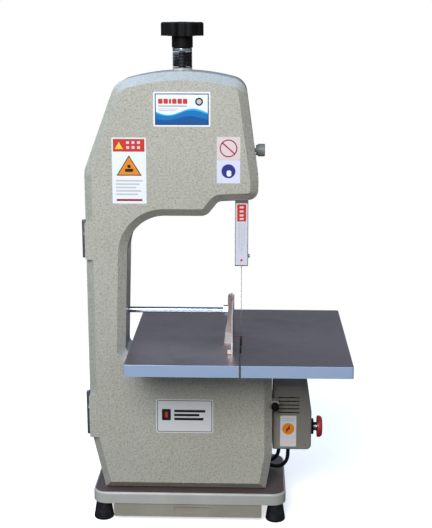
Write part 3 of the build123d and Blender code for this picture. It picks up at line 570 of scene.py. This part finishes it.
def cut_blade():
    """The blade loop with its teeth on the front edge, hooked and set to either side in turn."""
    low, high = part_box("saw_blade")
    outer = (high.x - low.x) / 2
    middle = (high.x + low.x) / 2
    lower_wheel = low.z + outer
    upper_wheel = high.z - outer
    straight = upper_wheel - lower_wheel
    bend = math.pi * (outer - BLADE_THICKNESS / 2)
    total = 2 * (straight + bend)

    def station(way):
        """Where the band is, and which way it faces, that far round from the top right."""
        way %= total
        if way < straight:
            return Vector((middle, 0, upper_wheel - way)), Vector((1, 0, 0))
        if way < straight + bend:
            turn = (way - straight) / bend * math.pi
            return Vector((middle, 0, lower_wheel)), Vector((math.cos(turn), 0, -math.sin(turn)))
        if way < 2 * straight + bend:
            rise = way - straight - bend
            return Vector((middle, 0, lower_wheel + rise)), Vector((-1, 0, 0))
        turn = (way - 2 * straight - bend) / bend * math.pi
        return Vector((middle, 0, upper_wheel)), Vector((-math.cos(turn), 0, math.sin(turn)))

    teeth = 2 * round(total / TOOTH_PITCH / 2)
    pitch = total / teeth
    gullet = low.y + TOOTH_DEPTH
    rings = []
    for tooth in range(teeth):
        for share, rise in TOOTH_OUTLINE:
            centre, facing = station((tooth + share) * pitch)
            outside = centre + facing * outer
            inside = centre + facing * (outer - BLADE_THICKNESS)
            lean = facing * TOOTH_SET * rise * (-1) ** tooth
            front = gullet - rise * TOOTH_DEPTH
            outer_side = ((outside + lean, front), (outside, high.y))
            inner_side = ((inside, high.y), (inside + lean, front))
            rings.append([Vector((p.x, y, p.z)) for p, y in outer_side + inner_side])
    shape = Shape()
    shape.rings(rings, closed=True)
    blade = shape.piece("toothed_blade", "root", [finishes["blade_steel"]], "blade_steel")
    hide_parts("saw_blade")


# ---- Spring and knob cap ------------------------------------------------------------------
UPWARD = (0, 0, 1)
SPRING_WIRE = 1.25 * MM
SPRING_TURNS = 10
SPRING_STEPS = 40
WIRE_SIDES = 10
SLEEVE_RADIUS = 7.2 * MM
SLEEVE_POINTS = 32
WASHER_THICKNESS = 1.6 * MM
WASHER_EDGE = 0.4 * MM
WASHER_POINTS = 48
CAP_RADIUS = 9 * MM
CAP_POINTS = 40


def spring_steel():
    """Blued spring wire."""
    steel = Finish("spring_steel", metallic=0.2, specular_ior_level=0.25)
    streak = steel.noise(2 * MM, 3, 0.6)
    colour = steel.ramp(streak, (0.4, (0.006, 0.006, 0.007)), (0.75, (0.02, 0.02, 0.022)))
    return steel.done(colour, steel.spread(streak, 0.3, 0.7, 0.25, 0.4))


def wind_spring():
    """The close-wound spring under the tension knob, on its washer and around its sleeve."""
    low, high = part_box("tension_spring")
    centre = (low + high) / 2
    foot = (centre.x, centre.y, low.z)
    outer = (high.x - low.x) / 2
    coil = outer - SPRING_WIRE
    rise = high.z - low.z - WASHER_THICKNESS - 2 * SPRING_WIRE
    steps = SPRING_TURNS * SPRING_STEPS
    points = []
    for step in range(steps + 1):
        turn = 2 * math.pi * step / SPRING_STEPS
        height = low.z + WASHER_THICKNESS + SPRING_WIRE + rise * step / steps
        points.append(Vector((centre.x + coil * math.cos(turn), centre.y + coil * math.sin(turn), height)))
    shape = Shape()
    tube(shape, points, SPRING_WIRE, WIRE_SIDES)
    sleeve_outline = circle(SLEEVE_RADIUS, SLEEVE_POINTS)
    turned(shape, foot, UPWARD, [(0, sleeve_outline), (rise + WASHER_THICKNESS, sleeve_outline)])
    rim = circle(outer, WASHER_POINTS)
    washer = [
        (0, circle(outer - 1.5 * WASHER_EDGE, WASHER_POINTS)),
        (WASHER_EDGE, rim),
        (WASHER_THICKNESS - WASHER_EDGE, rim),
        (WASHER_THICKNESS, circle(outer - WASHER_EDGE, WASHER_POINTS)),
    ]
    turned(shape, foot, UPWARD, washer, material=1)
    materials = [spring_steel(), finishes["zinc"]]
    spring = shape.piece("coil_spring", "root", materials, "black_plastic")
    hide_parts("tension_spring")


def cap_knob():
    """The disc that closes the knob's bore."""
    low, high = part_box("tension_knob")
    centre = (low + high) / 2
    rim = circle(CAP_RADIUS, CAP_POINTS)
    profile = [
        (-1.0 * MM, rim),
        (0.2 * MM, rim),
        (0.7 * MM, circle(CAP_RADIUS - 0.8 * MM, CAP_POINTS)),
        (0.8 * MM, circle(CAP_RADIUS - 4 * MM, CAP_POINTS)),
    ]
    shape = Shape()
    turned(shape, (centre.x, centre.y, high.z), UPWARD, profile)
    shape.piece("knob_cap", "tension_hand", [finishes["grey_knob"]], "grey_knob")


# ---- Screws -------------------------------------------------------------------------------
SCREW_POINTS = 30


def screw_profile(radius, height):
    """A button head with a hexagon socket."""
    return [
        (-0.3 * height, circle(radius, SCREW_POINTS)),
        (0.25 * height, circle(radius, SCREW_POINTS)),
        (0.7 * height, circle(0.88 * radius, SCREW_POINTS)),
        (height, circle(0.62 * radius, SCREW_POINTS)),
        (height, hexagon(0.38 * radius, SCREW_POINTS)),
        (0.35 * height, hexagon(0.36 * radius, SCREW_POINTS)),
    ]


def drive_screws(name, body, axis, places, head, slot="zinc"):
    """Screw heads at the given places, facing along the axis. A head is a radius and a height."""
    shape = Shape()
    for place in places:
        turned(shape, place, axis, screw_profile(*head))
    shape.piece(name, body, [finishes[slot]], slot)


COVER_SCREW = (2.6 * MM, 1.4 * MM)
TERMINAL_SCREW = (2.6 * MM, 1.6 * MM)
GUARD_SCREW = (3.2 * MM, 1.8 * MM)
GUARD_BOLT = (4.2 * MM, 3.4 * MM)
TO_FRONT = (0, -1, 0)
TO_RIGHT = (1, 0, 0)


def fit_screws():
    """The screws of the box cover, the guard and the terminal box."""
    rim = 9 * MM
    low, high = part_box("box_cover")
    places = [
        (low.x + rim, low.y, high.z - rim),
        (low.x + rim, low.y, low.z + rim),
        (high.x - 1.9 * rim, low.y, high.z - rim),
        (high.x - 1.4 * rim, low.y, low.z + 1.4 * rim),
    ]
    drive_screws("cover_screws", "root", TO_FRONT, places, COVER_SCREW, "box_grey")

    low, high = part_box("guard_channel")
    front = [((low.x + high.x) / 2, low.y, high.z - 12 * MM)]
    drive_screws("guard_screws", "guard", TO_FRONT, front, GUARD_SCREW)
    side = [(high.x, 5 * MM, low.z + 11 * MM)]
    drive_screws("guard_side_bolts", "guard", TO_RIGHT, side, GUARD_BOLT)

    low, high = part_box("terminal_box")
    middle = (low.z + high.z) / 2
    places = [(high.x, y, middle + z * MM) for y in (low.y + rim, high.y - rim) for z in (-18, 18)]
    drive_screws("terminal_screws", "root", TO_RIGHT, places, TERMINAL_SCREW)


# ---- Labels -------------------------------------------------------------------------------
# A label's own outlines are in millimetres from its lower left corner. A layer is one print's
# thickness, and the lap is how far it reaches into the face behind it.
LAYER = 0.12 * MM
LAP = 0.05 * MM
CORNER_STEPS = 4
DISC_POINTS = 36
RING_POINTS = 48
WAVE_STEPS = 24
# Small print: half a bar's height as a share of its row, and the share a bar is shortened by.
BAR_HALF = 0.22
BAR_CUT = 0.06


def rectangle(left, right, bottom, top, radius=0.0):
    """Outline of a rectangle with round corners, anticlockwise from the lower right."""
    if not radius:
        return [(right, bottom), (right, top), (left, top), (left, bottom)]
    points = []
    corners = (
        (right - radius, bottom + radius, -90),
        (right - radius, top - radius, 0),
        (left + radius, top - radius, 90),
        (left + radius, bottom + radius, 180),
    )
    for x, z, start in corners:
        for step in range(CORNER_STEPS + 1):
            turn = math.radians(start + 90 * step / CORNER_STEPS)
            points.append((x + radius * math.cos(turn), z + radius * math.sin(turn)))
    return points


def patch(x, z, width, height):
    """Outline of a rectangle about its middle."""
    return rectangle(x - width / 2, x + width / 2, z - height / 2, z + height / 2)


def disc(x, z, radius, count=DISC_POINTS):
    """Outline of a round spot."""
    return [(x + u, z + v) for u, v in circle(radius, count)]


def bar(x, z, length, width, angle):
    """Outline of a straight bar about its middle, tilted."""
    turn = math.radians(angle)
    along = Vector((math.cos(turn), math.sin(turn))) * length / 2
    across = Vector((-math.sin(turn), math.cos(turn))) * width / 2
    middle = Vector((x, z))
    corners = (along - across, along + across, -along + across, -along - across)
    return [tuple(middle + corner) for corner in corners]


class Sticker:
    """A thin printed label on a face that looks towards the operator."""

    def __init__(self, name, body, corner):
        self.name = name
        self.body = body
        self.corner = Vector(corner)
        self.shape = Shape()
        self.inks = []

    def loop(self, outline, height):
        """The outline's points, at a height over the face."""
        return [self.corner + Vector((x * MM, -height, z * MM)) for x, z in outline]

    def add(self, loops, colour, closed=False):
        """One printed form, in a colour."""
        if colour not in self.inks:
            self.inks.append(colour)
        self.shape.rings(loops, self.inks.index(colour), closed)

    def print(self, outline, colour, layer):
        """One area of colour. Higher layers lie over lower ones."""
        self.add([self.loop(outline, height) for height in (-LAP, LAYER * layer)], colour)

    def ring(self, x, z, outer, inner, colour, layer):
        """A round band of colour."""
        front = LAYER * layer
        edges = ((outer, -LAP), (outer, front), (inner, front), (inner, -LAP))
        loops = [self.loop(disc(x, z, radius, RING_POINTS), height) for radius, height in edges]
        self.add(loops, colour, closed=True)

    def lines(self, left, right, bottom, top, rows, colour, layer):
        """Rows of plain bars, some shorter, that stand for small print."""
        pitch = (top - bottom) / rows
        for row in range(rows):
            z = top - (row + 0.5) * pitch
            end = right - (right - left) * BAR_CUT * (row * 7 % 5)
            self.print(rectangle(left, end, z - BAR_HALF * pitch, z + BAR_HALF * pitch), colour, layer)

    def done(self):
        """Makes the finished label."""
        self.shape.piece(self.name, self.body, [INKS[c] for c in self.inks])


door_low, door_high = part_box("door_shell")


def top_plate():
    """The large plate under the knob: navy frame, white field, blue waves, plain marks."""
    corner = (door_low.x + 137.5 * MM, door_low.y, door_high.z - 103.5 * MM)
    plate = Sticker("top_plate", "door", corner)
    width, height = 109, 66
    frame_edge, field_edge = 3.2, 5.1
    plate.print(rectangle(0, width, 0, height, 2.5), "white", 1)
    for edge, colour, layer in ((frame_edge, "navy", 2), (field_edge, "white", 3)):
        plate.print(rectangle(edge, width - edge, edge, height - edge), colour, layer)
    field_width = width - 2 * field_edge
    field_height = height - 2 * field_edge

    def wave(mean, swing, phase):
        """The area under a wave across the field; mean and swing are shares of its height."""
        outline = [(field_edge, field_edge), (width - field_edge, field_edge)]
        for step in range(WAVE_STEPS + 1):
            share = 1 - step / WAVE_STEPS
            lift = mean + swing * math.sin(2 * math.pi * (1.05 * share + phase))
            outline.append((field_edge + share * field_width, field_edge + lift * field_height))
        return outline

    plate.print(wave(0.42, 0.11, 0.50), "sky", 4)
    plate.print(wave(0.37, 0.10, 0.51), "blue", 5)
    plate.print(wave(0.20, 0.07, 0.56), "deep_blue", 6)
    margin, gap = 9.6, 1.7
    mark = margin
    for size in (8.5, 8.5, 4.5, 8.5, 8.5, 8.5):
        plate.print(rectangle(mark, mark + size, 43.4, 52.9, 1.6), "red", 4)
        mark += size + gap
    plate.lines(margin, 64.1, 36.9, 41.4, 1, "grey", 4)
    plate.lines(margin, 47.1, 28.9, 35.4, 2, "pale_grey", 4)
    plate.print(disc(87.4, 47.4, 7.6), "black", 4)
    plate.print(disc(87.4, 47.4, 4.6), "pale_grey", 5)
    plate.done()


def side_label():
    """The tall label on the column: red header, orange triangle, small print."""
    corner = (door_low.x + 56.5 * MM, door_low.y, door_high.z - 252.5 * MM)
    label = Sticker("column_label", "door", corner)
    width, height = 66, 128
    label.print(rectangle(0, width, 0, height, 1.5), "white", 1)
    label.print(rectangle(2.6, width - 2.6, 101, height - 2.6), "red", 2)
    label.print([(22, 106), (14, 119.5), (6, 106)], "yellow", 3)
    for z in (118.5, 109):
        for x in (31, 41.5, 52):
            label.print(patch(x, z, 5.6, 5.2), "pink", 3)
    middle = width / 2
    for half, base, colour, layer in ((24.5, 54.5, "black", 2), (21.5, 56.15, "orange", 3)):
        outline = [(middle + half, base), (middle, base + 1.62 * half), (middle - half, base)]
        label.print(outline, colour, layer)
    label.print(rectangle(middle - 8, middle + 8, 62, 68, 2.4), "black", 4)
    label.print(disc(middle, 72.5, 3.4), "black", 4)
    label.lines(7, width - 7, 15, 48, 5, "pale_grey", 2)
    label.print(rectangle(8, width - 8, 5, 9), "dark_red", 2)
    label.done()


def right_labels():
    """Two square stickers by the arm's end: a barred ring and a round mark."""
    left = door_low.x + 258.5 * MM
    width = 45
    middle = width / 2
    upper = Sticker("barred_sticker", "door", (left, door_low.y, door_high.z - 166.5 * MM))
    upper.print(rectangle(0, width, 0, 44, 1), "pink", 1)
    upper.ring(middle, 22, 17, 14.8, "dark_red", 2)
    upper.print(bar(middle, 22, 31, 2.4, -42), "dark_red", 2)
    upper.done()
    lower = Sticker("round_sticker", "door", (left, door_low.y, door_high.z - 212 * MM))
    lower.print(rectangle(0, width, 0, 44.9, 1), "lavender", 1)
    lower.print(disc(middle, 23.5, 13.5), "indigo", 2)
    lower.print(rectangle(19, 28, 13.5, 25, 3.5), "white", 3)
    lower.done()


def lower_plate():
    """The plate on the lower door: pale metal, thin dark frame, plain bars as its mark."""
    corner = (door_low.x + 135.5 * MM, door_low.y, door_low.z + 125 * MM)
    plate = Sticker("lower_plate", "door", corner)
    width, height = 116, 72
    for edge, radius, colour, layer in ((0, 4, "plate", 1), (2.4, 3.2, "black", 2), (3.6, 2.6, "plate", 3)):
        plate.print(rectangle(edge, width - edge, edge, height - edge, radius), colour, layer)
    plate.print(rectangle(12, 30, 27, 51, 2), "black", 4)
    plate.print(rectangle(18, 24, 33, 45, 1), "red", 5)
    for z, end in ((47, 100), (38.5, 88), (30, 96)):
        plate.print(rectangle(37, end, z - 2.6, z + 2.6), "black", 4)
    plate.done()


def box_sticker():
    """The sticker on the control box: orange disc with a zigzag, and small print."""
    low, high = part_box("box_cover")
    sticker = Sticker("box_sticker", "root", (low.x + 15.5 * MM, low.y, low.z + 7 * MM))
    width, height = 33, 67
    sticker.print(rectangle(0, width, 0, height, 1.2), "plate", 1)
    middle, centre = width / 2, 38.5
    sticker.print(disc(middle, centre, 12.5), "orange", 2)
    zigzag = [(-3.5, -8.5), (1.2, -1.2), (4.2, -1.2), (2.4, 8.5), (-2.4, 0.8), (-4.6, 0.8)]
    sticker.print([(middle + x, centre + z) for x, z in zigzag], "dark_red", 3)
    sticker.lines(3, width - 3, 55, 63, 2, "pale_grey", 2)
    sticker.lines(3, width - 3, 4, 21, 3, "pink", 2)
    sticker.done()


def guard_label():
    """The long label on the blade guard: a red block over upright bars."""
    low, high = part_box("guard_channel")
    margin = 1.2 * MM
    label = Sticker("guard_label", "guard", (low.x + margin, low.y, low.z + 2 * MM))
    width = (high.x - low.x - 2 * margin) / MM
    height = 124
    label.print(rectangle(0, width, 0, height, 1.5), "guard_white", 1)
    label.print(rectangle(3, width - 3, 88, 122), "red", 2)
    for z in (116, 108, 100, 93):
        label.print(patch(width / 2, z, width - 16, 4), "pink", 3)
    for x, bottom in ((6, 34), (11, 26), (16, 40)):
        label.print(rectangle(x, x + 1.8, bottom, 83), "pale_grey", 2)
    label.print(disc(width / 2, 10, 2.4), "red", 2)
    label.done()


# ---- Table's line and flap ----------------------------------------------------------------
def blade_line():
    """The red line on the table that shows where the teeth cut, on both sides of the slot."""
    table_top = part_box("table")[1].z
    blade_low, blade_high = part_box("saw_blade")
    middle = (blade_low.y + blade_high.y) / 2
    half_width, half_thick = 1.5 * MM, 0.1 * MM
    shape = Shape()
    for left, right in ((-15.0, -2.8), (1.9, 15.0)):
        ends = (blade_high.x + left * MM, blade_high.x + right * MM)
        outline = rectangle(*ends, middle - half_width, middle + half_width)
        levels = (table_top - half_thick, table_top + half_thick)
        shape.rings([[Vector((x, y, z)) for x, y in outline] for z in levels])
    shape.piece("blade_line", "root", [INKS["red"]])


FLAP_HALF_WIDTH = 15 * MM
FLAP_HALF_THICK = 1 * MM
FLAP_BELOW_TOP = 3.2 * MM
FLAP_HEIGHT = 27 * MM
FLAP_BEHIND_BLADE = 17 * MM
FLAP_CURL = 3 * MM
FLAP_STEPS = 8


def slot_flap():
    """A rubber flap under the table, behind the blade, that keeps dust in and light out."""
    table_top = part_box("table")[1].z
    blade_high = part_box("saw_blade")[1]
    rings = []
    for step in range(FLAP_STEPS + 1):
        share = step / FLAP_STEPS
        z = table_top - FLAP_BELOW_TOP - FLAP_HEIGHT * share
        y = blade_high.y + FLAP_BEHIND_BLADE + FLAP_CURL * share ** 2
        ends = (blade_high.x - FLAP_HALF_WIDTH, blade_high.x + FLAP_HALF_WIDTH)
        outline = rectangle(*ends, y - FLAP_HALF_THICK, y + FLAP_HALF_THICK)
        rings.append([Vector((x, along, z)) for x, along in outline])
    shape = Shape()
    shape.rings(rings)
    shape.piece("slot_flap", "root", [finishes["black_rubber"]], "black_rubber")


# ---- Studio -------------------------------------------------------------------------------
SKY_STOPS = (
    (0.0, (0.035, 0.038, 0.042)),
    (0.36, (0.09, 0.098, 0.12)),
    (0.52, (0.42, 0.42, 0.42)),
    (0.75, (0.42, 0.53, 0.68)),
    (1.0, (0.30, 0.50, 0.80)),
)
DEPTH_STOPS = (
    (0.0, (1.0, 1.0, 1.0)),
    (0.45, (0.9, 0.9, 0.9)),
    (0.75, (0.45, 0.43, 0.45)),
    (1.0, (0.4, 0.38, 0.4)),
)
SIDE_STOPS = (
    (0.0, (1.0, 1.05, 1.1)),
    (0.45, (1.0, 1.0, 1.0)),
    (0.7, (1.0, 0.99, 0.97)),
    (1.0, (1.05, 1.04, 1.02)),
)
SOFTBOXES = {
    "front_softbox": {"place": (-0.5, -2.45, 2.05), "size": (1.5, 1.5), "power": 77},
    "top_softbox": {"place": (-1.1, -0.5, 2.1), "size": (1.4, 1.4), "power": 14, "colour": (0.55, 0.80, 1.0)},
    "back_softbox": {"place": (0.1, 2.4, 0.3), "size": (1.4, 0.5), "power": 3},
}


def area_light(name, target, place, size, power, colour=(1, 1, 1)):
    """A soft rectangular light turned towards a point."""
    data = bpy.data.lights.new(name, "AREA")
    data.shape = "RECTANGLE"
    data.size, data.size_y = size
    data.energy = power
    data.color = colour
    light = add_object(name, data)
    light.location = place
    aim = target - Vector(place)
    light.rotation_euler = aim.to_track_quat("-Z", "Y").to_euler()


def light_studio():
    """White to the eye; lit brightest and bluest from above, least from the back and below."""
    world = bpy.data.worlds.new("studio")
    bpy.context.scene.world = world
    world.use_nodes = True
    tree = world.node_tree
    tree.nodes.clear()
    direction = tree.nodes.new("ShaderNodeTexCoord")
    parts = tree.nodes.new("ShaderNodeSeparateXYZ")
    tree.links.new(direction.outputs["Generated"], parts.inputs[0])

    def blend(axis, stops):
        """Colours along one axis of the direction, from -1 to 1."""
        spread = tree.nodes.new("ShaderNodeMapRange")
        tree.links.new(parts.outputs[axis], spread.inputs["Value"])
        spread.inputs["From Min"].default_value = -1
        ramp = tree.nodes.new("ShaderNodeValToRGB")
        tree.links.new(spread.outputs[0], ramp.inputs[0])
        set_stops(ramp, stops)
        return ramp.outputs[0]

    light = blend("Z", SKY_STOPS)
    for shade in (blend("Y", DEPTH_STOPS), blend("X", SIDE_STOPS)):
        product = tree.nodes.new("ShaderNodeMix")
        product.data_type = "RGBA"
        product.blend_type = "MULTIPLY"
        product.inputs[0].default_value = 1.0
        tree.links.new(light, product.inputs[6])
        tree.links.new(shade, product.inputs[7])
        light = product.outputs[2]
    lit = tree.nodes.new("ShaderNodeBackground")
    tree.links.new(light, lit.inputs["Color"])
    seen = tree.nodes.new("ShaderNodeBackground")
    seen.inputs["Color"].default_value = (1, 1, 1, 1)
    choose = tree.nodes.new("ShaderNodeMixShader")
    eye = tree.nodes.new("ShaderNodeLightPath")
    output = tree.nodes.new("ShaderNodeOutputWorld")
    tree.links.new(eye.outputs["Is Camera Ray"], choose.inputs[0])
    tree.links.new(lit.outputs[0], choose.inputs[1])
    tree.links.new(seen.outputs[0], choose.inputs[2])
    tree.links.new(choose.outputs[0], output.inputs["Surface"])

    centre = (cad_box[0] + cad_box[1]) / 2
    for name, softbox in SOFTBOXES.items():
        area_light(name, centre, **softbox)
    bpy.context.scene.view_settings.view_transform = "Standard"


FLOOR_HALF = 1.6
FLOOR_FADE = (0.55, 1.5)


def lay_floor():
    """A pale floor around the machine that fades into the white surroundings."""
    paper = Finish("paper", emission_color=(1, 1, 1, 1), emission_strength=0.6)
    fibres = paper.noise(3 * MM, 3, 0.6)
    colour = paper.ramp(fibres, (0.3, (0.93, 0.93, 0.93)), (0.7, (0.96, 0.96, 0.96)))
    reach = paper.node("ShaderNodeVectorMath", [(0, paper.place)])
    reach.operation = "LENGTH"
    fade = paper.spread(reach.outputs["Value"], *FLOOR_FADE, 1, 0)
    paper.tree.links.new(fade, paper.shader.inputs["Alpha"])
    material = paper.done(colour, paper.spread(fibres, 0.3, 0.7, 0.75, 0.85))
    corners = [(x * FLOOR_HALF, y * FLOOR_HALF, 0) for x, y in ((-1, -1), (1, -1), (1, 1), (-1, 1))]
    mesh = bpy.data.meshes.new("floor")
    mesh.from_pydata(corners, [], [(0, 1, 2, 3)])
    mesh.materials.append(material)
    floor = add_object("floor", mesh)
    floor.visible_diffuse = False
    floor.visible_glossy = False


# ---- Assembly -----------------------------------------------------------------------------
dress_cad_nodes()
for lead_node, lead_route in LEAD_ROUTES.items():
    lay_lead(lead_node, lead_route)
cut_blade()
wind_spring()
cap_knob()
fit_screws()
top_plate()
side_label()
right_labels()
lower_plate()
box_sticker()
guard_label()
blade_line()
slot_flap()
light_studio()
lay_floor()
